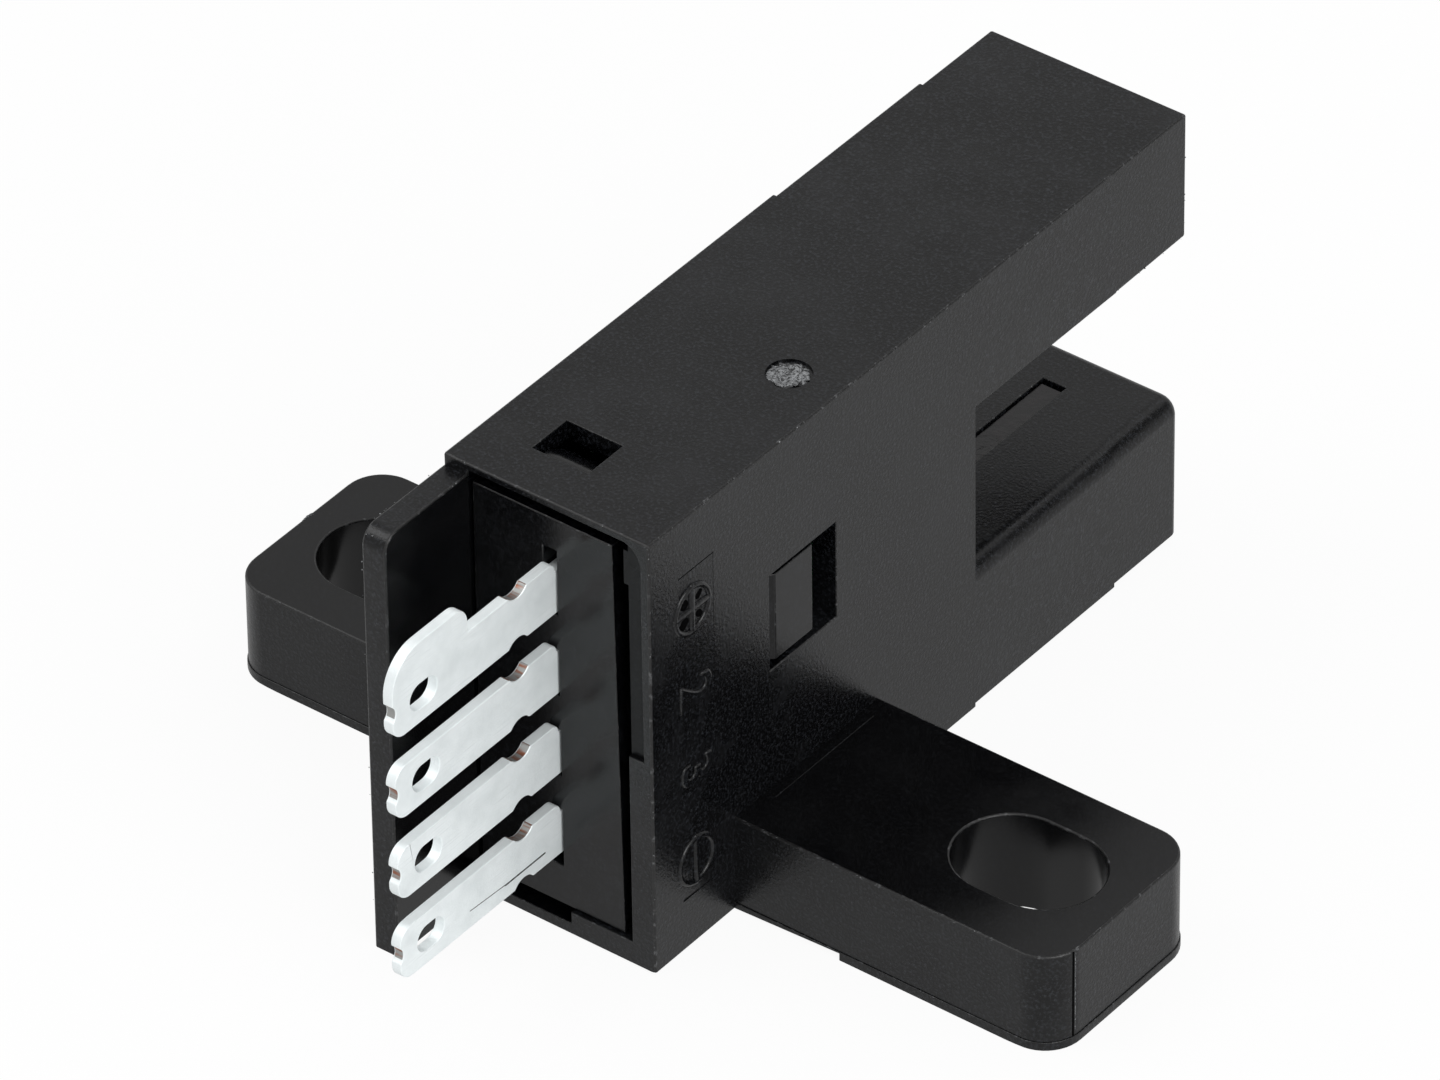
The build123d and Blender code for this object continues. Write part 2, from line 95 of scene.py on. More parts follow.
GATE_CENTRE = Vector((1.67 * MM, 1.35 * MM, CASE_TOP))
GATE_RADIUS = 0.6 * MM
GATE_DEPTH = 0.06 * MM
EDGE_MARGIN = 0.01 * MM

# The terminals, from the uppermost down
TERMINALS = ("terminal_1", "terminal_2", "terminal_3", "terminal_4")
NECK_Y = -7.55 * MM
NECK_REACH = 0.45 * MM
TIP_DEPTH = 0.15 * MM
TIP_NICK_ABOVE_EDGE = 0.85 * MM
TIP_NICK_REACH = 0.16 * MM
BLADE_FACE_X = 0.15 * MM

# Material slots of the case
ERODED, POLISHED, EDGE_WEAR_AND_HIGHLIGHT, RELIEF_PAINTED_SHADE = range(4)

# Faces that meet at less than SMOOTH_ANGLE shade as one, and edges sharper than SHARP_ANGLE are rounded
SHARP_ANGLE = radians(35)
SMOOTH_ANGLE = radians(50)

# How white the floor is: its share of glow to the camera and in reflections, and that glow's strength
FLOOR_SEEN = 0.93
FLOOR_MIRRORED = 0.8
FLOOR_MIRROR_GLOW = 0.65

# Grey card that stands behind the open end of the slot
CARD_DIRECTION = (0.612, 0.623, 0.487)
CARD_DISTANCE = 0.45
CARD_SIZE = 0.24

RIGHT = Vector((1, 0, 0))
UP = Vector((0, 0, 1))


def at(x, y, z):
    """Point given in millimetres."""
    return Vector((x * MM, y * MM, z * MM))


def near(value, *planes, margin=0.002 * MM):
    """True where the value lies on one of the planes."""
    return any(abs(value - plane) < margin for plane in planes)


def within(value, span, margin=0.0):
    """True where the value lies in the range, widened by the margin at both ends."""
    return span[0] - margin < value < span[1] + margin


def in_hole(point):
    """True inside the outline of a mounting hole."""
    return abs(abs(point.x) - HOLE_X) < HOLE_REACH[0] and abs(point.y) < HOLE_REACH[1]


def linear_colour(hex_value):
    """Turns an sRGB hex value into linear red, green, blue and an alpha of 1."""
    parts = [int(hex_value[place:place + 2], 16) / 255 for place in (0, 2, 4)]
    return [part / 12.92 if part <= 0.04045 else ((part + 0.055) / 1.055) ** 2.4 for part in parts] + [1.0]


def colour_property(name, description, hex_value):
    """Colour picker whose default is an sRGB hex value."""
    return bpy.props.FloatVectorProperty(
        name=name, description=description, subtype="COLOR", size=4, min=0, max=1,
        default=linear_colour(hex_value))


def size_property(name, description, millimetres):
    """Length whose default is given in millimetres."""
    return bpy.props.FloatProperty(
        name=name, description=description, unit="LENGTH", precision=6, default=millimetres * MM)


class CaseSizes(bpy.types.PropertyGroup):
    """Colours and sizes of the black mouldings."""
    black: colour_property("Black", "Carbon-filled PBT of the case", "020203")
    grain_pale: colour_property("Pale grain", "Tops of the spark-eroded texture", "25272b")
    bloom: colour_property("Bloom", "Paler patches and specks where the skin is rubbed", "242527")
    grain: size_property("Grain", "Width of one pit of the spark-eroded texture", 0.09)
    edge_radius: size_property("Edge radius", "Wear and mould radius on the outer edges", 0.06)
    rim_radius: size_property("Rim radius", "Radius on the rims of holes, windows and the lip", 0.03)


class TerminalSizes(bpy.types.PropertyGroup):
    """Colours and sizes of the stamped terminals."""
    tin: colour_property("Tin", "Matt tin plating", "f6fcfd")
    tarnish: colour_property("Tarnish", "Greyer patches of the plating", "d9e0e1")
    brass: colour_property("Brass", "Bare metal where the strip was sheared after plating", "97614a")
    edge_radius: size_property("Edge radius", "Rollover of the stamping", 0.03)
    rolling_lines: size_property("Rolling lines", "Spacing of the lines along the strip", 0.05)


class MarkSizes(bpy.types.PropertyGroup):
    """Sizes of the raised marks on the side and of the lines that the mould left."""
    stroke: size_property("Stroke", "Width of a raised line", 0.18)
    relief: size_property("Relief", "Height of the marks above the insert's face", 0.08)
    ring_radius: size_property("Ring radius", "Middle of the line round a sign", 0.67)
    digit_height: size_property("Digit height", "Height of a digit", 1.25)
    ridge: size_property("Ridge", "Width of a parting line", 0.05)
    flash: size_property("Flash", "Width of the largest torn flake on an edge", 0.05)


class StageSizes(bpy.types.PropertyGroup):
    """Camera, lamps and floor."""
    azimuth: bpy.props.FloatProperty(
        name="Azimuth", description="Turn of the camera from the line along +Y",
        subtype="ANGLE", default=radians(38.0))
    elevation: bpy.props.FloatProperty(
        name="Elevation", description="Height of the camera above the floor as an angle",
        subtype="ANGLE", default=radians(37.75))
    roll: bpy.props.FloatProperty(
        name="Roll", description="Turn of the picture about its middle",
        subtype="ANGLE", default=radians(-0.82))
    aim: bpy.props.FloatVectorProperty(
        name="Aim", description="Point in the middle of the picture", subtype="TRANSLATION",
        default=(-1.622 * MM, 2.721 * MM, 5.874 * MM))
    distance: size_property("Distance", "From the camera to the aim", 347.6)
    lens: bpy.props.FloatProperty(
        name="Lens", description="Focal length on a sensor 36 mm wide", unit="CAMERA", default=347.8)
    floor: colour_property("Floor", "Pale matt floor", "ececec")
    sky: bpy.props.FloatProperty(name="Sky", description="Brightness of the room", min=0, default=0.63)


def node(tree, kind, inputs=None, **settings):
    """Adds a node with its settings, and links or sets each named input."""
    made = tree.nodes.new(kind)
    for name, value in settings.items():
        setattr(made, name, value)
    for name, value in (inputs or {}).items():
        if isinstance(value, bpy.types.NodeSocket):
            tree.links.new(value, made.inputs[name])
        else:
            made.inputs[name].default_value = value
    return made


def new_material(name):
    """Empty node material, and the tree to build it in."""
    material = bpy.data.materials.new(name)
    material.use_nodes = True
    material.node_tree.nodes.clear()
    return material, material.node_tree


def finish_material(tree, shader):
    """Adds the output and links the shader to its surface."""
    node(tree, "ShaderNodeOutputMaterial", {"Surface": shader.outputs[0]})


def black_pbt(name, sizes, roughness, pit_depth, grain, bloom, specular):
    """PBT with carbon black. A spark-eroded mould gives a fine even grain that scatters the room into
    a soft grey; a polished one gives a near-black face that mirrors what stands by it."""
    if name in bpy.data.materials:
        return bpy.data.materials[name]
    material, tree = new_material(name)
    place = node(tree, "ShaderNodeTexCoord").outputs["Object"]
    pits = node(tree, "ShaderNodeTexNoise", {
        "Vector": place, "Scale": 1 / sizes.grain, "Detail": 3.0, "Roughness": 0.6})
    # Rubbed patches a few millimetres across
    patches = node(tree, "ShaderNodeTexNoise", {
        "Vector": place, "Scale": 1 / (2.5 * MM), "Detail": 4.0, "Roughness": 0.65})
    rubbed = node(tree, "ShaderNodeMapRange", {
        "Value": patches.outputs["Fac"], "From Min": 0.45, "From Max": 0.75, "To Max": bloom})
    # Dust and nicks about 0.1 mm across
    specks = node(tree, "ShaderNodeTexVoronoi", {
        "Vector": place, "Scale": 1 / (0.9 * MM), "Randomness": 1.0}, feature="F1")
    dust = node(tree, "ShaderNodeMapRange", {
        "Value": specks.outputs["Distance"], "From Min": 0.035, "From Max": 0.065,
        "To Min": 1.0, "To Max": 0.0})
    kept = node(tree, "ShaderNodeMath", {
        0: dust.outputs["Result"], 1: specks.outputs["Color"]}, operation="MULTIPLY")
    dusty = node(tree, "ShaderNodeMath", {
        0: kept.outputs[0], 1: rubbed.outputs["Result"]}, operation="MAXIMUM")
    tops = node(tree, "ShaderNodeMapRange", {
        "Value": pits.outputs["Fac"], "From Min": 0.5, "From Max": 0.72, "To Max": grain})
    grained = node(tree, "ShaderNodeMix", {
        "Factor": tops.outputs["Result"], "A": sizes.black, "B": sizes.grain_pale}, data_type="RGBA")
    colour = node(tree, "ShaderNodeMix", {
        "Factor": dusty.outputs[0], "A": grained.outputs["Result"], "B": sizes.bloom}, data_type="RGBA")
    sheen = node(tree, "ShaderNodeMapRange", {
        "Value": patches.outputs["Fac"], "From Min": 0.3, "From Max": 0.7,
        "To Min": roughness - 0.05, "To Max": roughness + 0.05})
    relief = node(tree, "ShaderNodeBump", {
        "Height": pits.outputs["Fac"], "Distance": pit_depth, "Strength": 1.0})
    finish_material(tree, node(tree, "ShaderNodeBsdfPrincipled", {
        "Base Color": colour.outputs["Result"], "Roughness": sheen.outputs["Result"],
        "IOR": 1.55, "Specular IOR Level": specular, "Normal": relief.outputs["Normal"]}))
    return material


def eroded_pbt(sizes):
    """Outside of the case."""
    return black_pbt(
        "PBT, spark-eroded", sizes, roughness=0.27, pit_depth=0.010 * MM, grain=1.0, bloom=0.35,
        specular=0.31)


def polished_pbt(sizes):
    """Ear tops, hole walls and the guard wall's inner face."""
    return black_pbt(
        "PBT, polished", sizes, roughness=0.2, pit_depth=0.0008 * MM, grain=0.25, bloom=0.08, specular=0.34)


def relief_painted_shade_pbt(sizes):
    """Relief inside the lip: a darker, duller copy of the black, as painted shade for the recess where little
    light comes back.
    """
    return black_pbt(
        "PBT, relief", sizes, roughness=0.3, pit_depth=0.002 * MM, grain=0.25, bloom=0.1, specular=0.16)


def base_pbt(sizes):
    """Terminal base, smoother than the case."""
    return black_pbt(
        "PBT, fine matt", sizes, roughness=0.2, pit_depth=0.0025 * MM, grain=0.5, bloom=0.2, specular=0.3)


def torn_pbt():
    """Whitened plastic where a gate or a film of flash tore off: stretched, it scatters light all over."""
    name = "PBT, torn"
    if name in bpy.data.materials:
        return bpy.data.materials[name]
    material, tree = new_material(name)
    place = node(tree, "ShaderNodeTexCoord").outputs["Object"]
    fibres = node(tree, "ShaderNodeTexNoise", {
        "Vector": place, "Scale": 1 / (0.12 * MM), "Detail": 4.0, "Distortion": 1.5})
    shade = node(tree, "ShaderNodeMapRange", {
        "Value": fibres.outputs["Fac"], "From Min": 0.4, "From Max": 0.65})
    colour = node(tree, "ShaderNodeMix", {
        "Factor": shade.outputs["Result"], "A": linear_colour("151618"), "B": linear_colour("8e9092")},
        data_type="RGBA")
    relief = node(tree, "ShaderNodeBump", {
        "Height": fibres.outputs["Fac"], "Distance": 0.03 * MM, "Strength": 1.0})
    finish_material(tree, node(tree, "ShaderNodeBsdfPrincipled", {
        "Base Color": colour.outputs["Result"], "Roughness": 0.45, "IOR": 1.55,
        "Normal": relief.outputs["Normal"]}))
    return material


def worn_edge_and_painted_highlight(sizes):
    """PBT along the rounded edges, with pale specks where fine flash has torn off. The pale colour is partly
    a painted highlight along the edges.
    """
    name = "PBT, burnished edge"
    if name in bpy.data.materials:
        return bpy.data.materials[name]
    material, tree = new_material(name)
    place = node(tree, "ShaderNodeTexCoord").outputs["Object"]
    flash_and_highlight_noise = node(tree, "ShaderNodeTexNoise", {
        "Vector": place, "Scale": 1 / (0.16 * MM), "Detail": 5.0, "Roughness": 0.7})
    # Pale specks: torn flash, and partly a painted highlight along the rounded edges
    pale = node(tree, "ShaderNodeMapRange", {
        "Value": flash_and_highlight_noise.outputs["Fac"], "From Min": 0.55, "From Max": 0.72, "To Max": 1.0})
    colour = node(tree, "ShaderNodeMix", {
        "Factor": pale.outputs["Result"], "A": sizes.black, "B": linear_colour("5a5b5d")}, data_type="RGBA")
    relief = node(tree, "ShaderNodeBump", {
        "Height": flash_and_highlight_noise.outputs["Fac"], "Distance": 0.02 * MM, "Strength": 1.0})
    finish_material(tree, node(tree, "ShaderNodeBsdfPrincipled", {
        "Base Color": colour.outputs["Result"], "Roughness": 0.38, "IOR": 1.55,
        "Specular IOR Level": 0.5, "Normal": relief.outputs["Normal"]}))
    return material


def matt_tin(sizes):
    """Tin plated on rolled brass strip. Its crystals are so rough that it scatters most light like paint,
    and only part of it as metal: nearly white, with faint lines along the strip and soft mottling."""
    name = "Matt tin plating"
    if name in bpy.data.materials:
        return bpy.data.materials[name]
    material, tree = new_material(name)
    place = node(tree, "ShaderNodeTexCoord").outputs["Object"]
    along_strip = node(tree, "ShaderNodeMapping", {"Vector": place, "Scale": (1.0, 0.04, 1.0)})
    lines = node(tree, "ShaderNodeTexNoise", {
        "Vector": along_strip.outputs["Vector"], "Scale": 1 / sizes.rolling_lines, "Detail": 3.0})
    crystals = node(tree, "ShaderNodeTexNoise", {
        "Vector": place, "Scale": 1 / (0.06 * MM), "Detail": 3.0, "Roughness": 0.6})
    mottle = node(tree, "ShaderNodeTexNoise", {
        "Vector": place, "Scale": 1 / (0.8 * MM), "Detail": 3.0})
    tarnish = node(tree, "ShaderNodeMapRange", {
        "Value": mottle.outputs["Fac"], "From Min": 0.35, "From Max": 0.75, "To Max": 0.6})
    streaks = node(tree, "ShaderNodeMapRange", {
        "Value": lines.outputs["Fac"], "From Min": 0.5, "From Max": 0.75, "To Max": 0.5})
    greyed = node(tree, "ShaderNodeMath", {
        0: tarnish.outputs["Result"], 1: streaks.outputs["Result"]}, operation="MAXIMUM")
    colour = node(tree, "ShaderNodeMix", {
        "Factor": greyed.outputs[0], "A": sizes.tin, "B": sizes.tarnish}, data_type="RGBA")
    silk = node(tree, "ShaderNodeMapRange", {
        "Value": mottle.outputs["Fac"], "To Min": 0.42, "To Max": 0.58})
    rolled = node(tree, "ShaderNodeBump", {
        "Height": lines.outputs["Fac"], "Distance": 0.006 * MM, "Strength": 1.0})
    grown = node(tree, "ShaderNodeBump", {
        "Height": crystals.outputs["Fac"], "Distance": 0.008 * MM, "Strength": 1.0,
        "Normal": rolled.outputs["Normal"]})
    finish_material(tree, node(tree, "ShaderNodeBsdfPrincipled", {
        "Base Color": colour.outputs["Result"], "Metallic": 0.35, "Roughness": silk.outputs["Result"],
        "Normal": grown.outputs["Normal"]}))
    return material


def sheared_brass(sizes):
    """Bare copper-coloured metal of a sheared edge, with the tin dragged over parts of it."""
    material, tree = new_material("Sheared brass")
    place = node(tree, "ShaderNodeTexCoord").outputs["Object"]
    across = node(tree, "ShaderNodeMapping", {"Vector": place, "Scale": (0.15, 1.0, 1.0)})
    drag = node(tree, "ShaderNodeTexNoise", {
        "Vector": across.outputs["Vector"], "Scale": 1 / (0.12 * MM), "Detail": 4.0})
    smear = node(tree, "ShaderNodeMapRange", {
        "Value": drag.outputs["Fac"], "From Min": 0.38, "From Max": 0.54, "To Max": 1.0})
    colour = node(tree, "ShaderNodeMix", {
        "Factor": smear.outputs["Result"], "A": sizes.brass, "B": linear_colour("a2a3a1")}, data_type="RGBA")
    torn = node(tree, "ShaderNodeBump", {
        "Height": drag.outputs["Fac"], "Distance": 0.02 * MM, "Strength": 1.0})
    finish_material(tree, node(tree, "ShaderNodeBsdfPrincipled", {
        "Base Color": colour.outputs["Result"], "Metallic": 0.7, "Roughness": 0.45,
        "Normal": torn.outputs["Normal"]}))
    return material


def inner_finish(name, base, mottle, grain, roughness, metallic=0.0, transmission=0.0, specular=0.5):
    """Finish of a small part: a base colour with a second one through it, at the grain's width in mm."""
    if name in bpy.data.materials:
        return bpy.data.materials[name]
    material, tree = new_material(name)
    place = node(tree, "ShaderNodeTexCoord").outputs["Object"]
    pattern = node(tree, "ShaderNodeTexNoise", {
        "Vector": place, "Scale": 1 / (grain * MM), "Detail": 3.0, "Roughness": 0.6})
    share = node(tree, "ShaderNodeMapRange", {
        "Value": pattern.outputs["Fac"], "From Min": 0.42, "From Max": 0.62})
    colour = node(tree, "ShaderNodeMix", {
        "Factor": share.outputs["Result"], "A": linear_colour(base), "B": linear_colour(mottle)},
        data_type="RGBA")
    relief = node(tree, "ShaderNodeBump", {
        "Height": pattern.outputs["Fac"], "Distance": 0.1 * grain * MM, "Strength": 0.5})
    finish_material(tree, node(tree, "ShaderNodeBsdfPrincipled", {
        "Base Color": colour.outputs["Result"], "Roughness": roughness, "Metallic": metallic,
        "Transmission Weight": transmission, "Specular IOR Level": specular,
        "Normal": relief.outputs["Normal"]}))
    return material


def painted_pit_and_groove_shade():
    """Near-black, hardly reflecting finish: painted shade for a pit or a groove, where hardly any light comes
    back.
    """
    return inner_finish("PBT, bottom of a pit", "020202", "050506", 0.05, 0.7, specular=0.02)


def select_only(*pieces):
    """Selects these pieces alone and makes the first one active."""
    bpy.ops.object.select_all(action="DESELECT")
    for piece in pieces:
        piece.select_set(True)
    bpy.context.view_layer.objects.active = pieces[0]


def copy_of_node(name, new_name, slot, *materials):
    """Copies a node's mesh into a piece that stands for it, and joins its loose triangles into faces."""
    piece = bpy.data.objects.new(new_name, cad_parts[name].data.copy())
    bpy.context.scene.collection.objects.link(piece)
    piece.data.materials.clear()
    for material in materials:
        piece.data.materials.append(material)
    select_only(piece)
    bpy.ops.object.mode_set(mode="EDIT")
    bpy.ops.mesh.select_all(action="SELECT")
    bpy.ops.mesh.remove_doubles(threshold=0.001 * MM)
    bpy.ops.mesh.dissolve_limited(angle_limit=radians(0.5))
    bpy.ops.object.mode_set(mode="OBJECT")
    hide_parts(name)
    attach(piece, "root")
    return piece


def round_edges(piece, radius, chosen, edge_slot):
    """Bevels the sharp outer edges whose two ends the rule chosen accepts."""
    mesh = piece.data
    sides = {}
    for face in mesh.polygons:
        corners = list(face.vertices)
        for start, end in zip(corners, corners[1:] + corners[:1]):
            sides.setdefault(frozenset((start, end)), []).append((face.normal.copy(), start))
    select_only(piece)
    bpy.ops.object.mode_set(mode="EDIT")
    bpy.ops.mesh.select_all(action="DESELECT")
    bpy.ops.mesh.select_mode(type="EDGE")
    bpy.ops.object.mode_set(mode="OBJECT")
    for edge in mesh.edges:
        around = sides.get(frozenset(edge.vertices), [])
        if len(around) != 2:
            continue
        (first, start), (second, _) = around
        ends = [mesh.vertices[index].co for index in edge.vertices]
        along = ends[1] - ends[0] if start == edge.vertices[0] else ends[0] - ends[1]
        outer = first.dot(second.cross(-along)) < 0
        edge.select = outer and first.angle(second, 0) > SHARP_ANGLE and chosen(ends)
    bpy.ops.object.mode_set(mode="EDIT")
    bpy.ops.mesh.bevel(
        offset=radius, segments=2, profile=0.5, affect="EDGES", clamp_overlap=False, material=edge_slot)
    bpy.ops.object.mode_set(mode="OBJECT")


def smooth_edges(piece):
    """Gives each corner of a face the mean direction of the faces round it that turn little from it,
    by their areas. Rounded edges take up the whole turn and flat faces stay flat."""
    select_only(piece)
    bpy.ops.object.shade_smooth()
    mesh = piece.data
    around = [[] for _ in mesh.vertices]
    for face in mesh.polygons:
        for vertex in face.vertices:
            around[vertex].append(face)
    normals = [None] * len(mesh.loops)
    for face in mesh.polygons:
        for corner in face.loop_indices:
            total = Vector((0, 0, 0))
            for other in around[mesh.loops[corner].vertex_index]:
                if face.normal.angle(other.normal, 0) < SMOOTH_ANGLE:
                    total += other.normal * other.area / MM ** 2
            normals[corner] = total.normalized() if total.length > 0 else face.normal.copy()
    mesh.normals_split_custom_set(normals)


def finish_piece(piece, name, slot, *materials):
    """Names a new piece, leaves its place in its mesh and lets it ride with the case."""
    piece.name = name
    piece.data.materials.clear()
    for material in materials:
        piece.data.materials.append(material)
    select_only(piece)
    bpy.ops.object.transform_apply(location=True, rotation=True, scale=True)
    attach(piece, "root")


def joined(pieces):
    """Joins new pieces into the first one."""
    select_only(*pieces)
    bpy.ops.object.join()
    return bpy.context.object


def raised_line(start, end, normal, width, height):
    """Half-round line that stands on a face, as a capsule pressed flat along the face's normal."""
    run = end - start
    along = run.normalized()
    bpy.ops.object.select_all(action="DESELECT")
    bpy.ops.mesh.primitive_uv_sphere_add(segments=12, ring_count=8, radius=width / 2, location=(0, 0, 0))
    line = bpy.context.object
    for vertex in line.data.vertices:
        vertex.co.z += run.length / 2 if vertex.co.z > 0 else -run.length / 2
        vertex.co.x *= 2 * height / width
    bpy.ops.object.shade_smooth()
    turned = Matrix((normal, along.cross(normal), along)).transposed().to_4x4()
    line.matrix_world = Matrix.Translation((start + end) / 2) @ turned
    return line


class INTERRUPTER_OT_case(bpy.types.Operator):
    """Case with softened edges: grained outside, polished guard wall and ear tops"""
    bl_idname = "interrupter.case"
    bl_label = "Case"

    def execute(self, context):
        sizes = context.scene.case_sizes
        case = copy_of_node(
            "housing", "moulded_case", "case_plastic",
            eroded_pbt(sizes), polished_pbt(sizes), worn_edge_and_painted_highlight(sizes), relief_painted_shade_pbt(sizes))

        def on_rim(ends):
            """True on the holes' lower rims, round the windows and slits, and inside the lip."""
            middle = (ends[0] + ends[1]) / 2
            hole = in_hole(middle) and all(near(end.z, 0) for end in ends)
            top_window = (
                near(middle.z, CASE_TOP) and within(middle.x, TOP_WINDOW_X)
                and within(middle.y, TOP_WINDOW_Y))
            side_window = (
                near(abs(middle.x), CASE_HALF_WIDTH) and within(middle.y, SIDE_WINDOW_Y)
                and within(middle.z, SIDE_WINDOW_Z))
            slit = (
                near(middle.z, SLOT_LOW, SLOT_HIGH) and within(middle.x, SLIT_X)
                and within(middle.y, SLIT_Y, EDGE_MARGIN))
            lip = (
                all(near(end.y, CASE_END) for end in ends) and within(middle.z, LIP_Z)
                and within(middle.x, (GUARD_INNER_X, CASE_INSIDE_HALF_WIDTH)))
            return hole or top_window or side_window or slit or lip

        def on_bottom(ends):
            """True round the undersides of the pads, the case and the lower prong."""
            pad = all(near(end.z, 0) and abs(end.x) > PAD_FRONT_X + EDGE_MARGIN for end in ends)
            floors = (CASE_FLOOR, *(CASE_FLOOR + inset for inset in MOULD_INSETS))
            floor = all(near(end.z, *floors) for end in ends)
            return pad or (floor and ends[0].x > GUARD_INNER_X)

        def on_ledge(ends):
            """True on the ledge between the pads and the ears."""
            return all(near(end.z, EAR_LEDGE) for end in ends)

        def on_outside(ends):
            """True on the long outer edges. Mould steps, insert, gate mark and pad ledge stay crisp, and so
            does what lies inside."""
            middle = (ends[0] + ends[1]) / 2
            on_step = any(near(ends[0].y, step) and near(ends[1].y, step) for step in MOULD_STEPS)
            on_insert = (
                middle.x > CASE_HALF_WIDTH - 1.5 * INSERT_DEPTH
                and within(middle.y, INSERT_Y, EDGE_MARGIN) and within(middle.z, INSERT_Z, EDGE_MARGIN))
            on_gate = (middle - GATE_CENTRE).length < 1.2 * GATE_RADIUS
            inside = (
                abs(middle.x) < CASE_INSIDE_HALF_WIDTH and within(middle.z, CASE_INSIDE_Z)
                and CASE_END + 0.001 * MM < middle.y < MOULD_STEPS[0])
            tunnel = (
                abs(middle.x) < PRONG_INSIDE_HALF_WIDTH and middle.y > MOULD_STEPS[0]
                and any(within(middle.z, span) for span in PRONG_INSIDE_Z))
            low = max(end.z for end in ends) < EAR_LEDGE + EDGE_MARGIN
            return not (on_step or on_insert or on_gate or inside or tunnel or low or on_rim(ends))

        # The insert's face rises to the side wall at its rear, so that only its top and bottom show as lines
        for vertex in case.data.vertices:
            if near(vertex.co.x, CASE_HALF_WIDTH - INSERT_DEPTH) and near(vertex.co.y, INSERT_Y[1]):
                vertex.co.x += 0.8 * INSERT_DEPTH
        # Rounded edges take the edge material, whose pale specks are torn flash and partly a painted
        # highlight
        round_edges(case, sizes.edge_radius, on_outside, EDGE_WEAR_AND_HIGHLIGHT)
        round_edges(case, sizes.rim_radius, lambda ends: on_rim(ends) or on_bottom(ends), EDGE_WEAR_AND_HIGHLIGHT)
        round_edges(case, 0.6 * sizes.rim_radius, on_ledge, EDGE_WEAR_AND_HIGHLIGHT)
        smooth_edges(case)
        for face in case.data.polygons:
            if face.material_index == EDGE_WEAR_AND_HIGHLIGHT:
                continue
            centre = face.center
            guard = centre.y < CASE_END - EDGE_MARGIN and near(centre.x, GUARD_INNER_X)
            ear = near(centre.z, EAR_TOP) and abs(centre.x) > CASE_HALF_WIDTH
            hole = in_hole(centre) and 0.05 * MM < centre.z < EAR_TOP
            # The recessed relief inside the lip takes the darker copy of the black: painted shade
            relief = (
                CASE_END + EDGE_MARGIN < centre.y < CASE_END + RELIEF_DEPTH
                and abs(centre.x) < CASE_INSIDE_HALF_WIDTH)
            face.material_index = RELIEF_PAINTED_SHADE if relief else POLISHED if guard or ear or hole else ERODED
        return {"FINISHED"}


class INTERRUPTER_OT_terminal_base(bpy.types.Operator):
    """Base plate with its core and snap noses, in a smoother black than the case"""
    bl_idname = "interrupter.terminal_base"
    bl_label = "Terminal base"

    def execute(self, context):
        sizes = context.scene.case_sizes
        base = copy_of_node(
            "terminal_base", "moulded_base", "base_plastic", base_pbt(sizes), worn_edge_and_painted_highlight(sizes))
        round_edges(base, sizes.rim_radius, lambda ends: True, 1)
        smooth_edges(base)
        return {"FINISHED"}


class INTERRUPTER_OT_terminals(bpy.types.Operator):
    """Four tinned terminals with rolled-over edges, and bare metal in the necks and tip nicks"""
    bl_idname = "interrupter.terminals"
    bl_label = "Terminals"

    def execute(self, context):
        sizes = context.scene.terminal_sizes
        tin, brass = matt_tin(sizes), sheared_brass(sizes)
        for name in TERMINALS:
            blade = copy_of_node(name, name + "_plated", "tinned_brass", tin, brass)
            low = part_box(name)[0]
            round_edges(blade, sizes.edge_radius, lambda ends: True, 0)
            smooth_edges(blade)
            for face in blade.data.polygons:
                cut = abs(face.normal.x) < 0.3
                neck = abs(face.center.y - NECK_Y) < NECK_REACH
                nick = abs(face.center.z - low.z - TIP_NICK_ABOVE_EDGE) < TIP_NICK_REACH
                tip = nick and face.center.y < low.y + TIP_DEPTH
                face.material_index = 1 if cut and (neck or tip) else 0

        # A dark groove and its scratch along the lowest blade, whose lower edge is at bottom
        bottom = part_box(TERMINALS[-1])[0].z
        groove = raised_line(
            Vector((BLADE_FACE_X, -8.3 * MM, bottom + 0.42 * MM)),
            Vector((BLADE_FACE_X, -6.73 * MM, bottom + 0.42 * MM)), RIGHT, 0.06 * MM, 0.004 * MM)
        scratch = raised_line(
            Vector((BLADE_FACE_X, -9.7 * MM, bottom + 0.52 * MM)),
            Vector((BLADE_FACE_X, -8.2 * MM, bottom + 0.43 * MM)), RIGHT, 0.03 * MM, 0.003 * MM)
        finish_piece(
            joined([groove, scratch]), "blade_scratch", "tinned_brass",
            inner_finish("Oxide in a scratch", "2a2c2c", "6b7070", 0.08, 0.6, metallic=0.5))
        return {"FINISHED"}


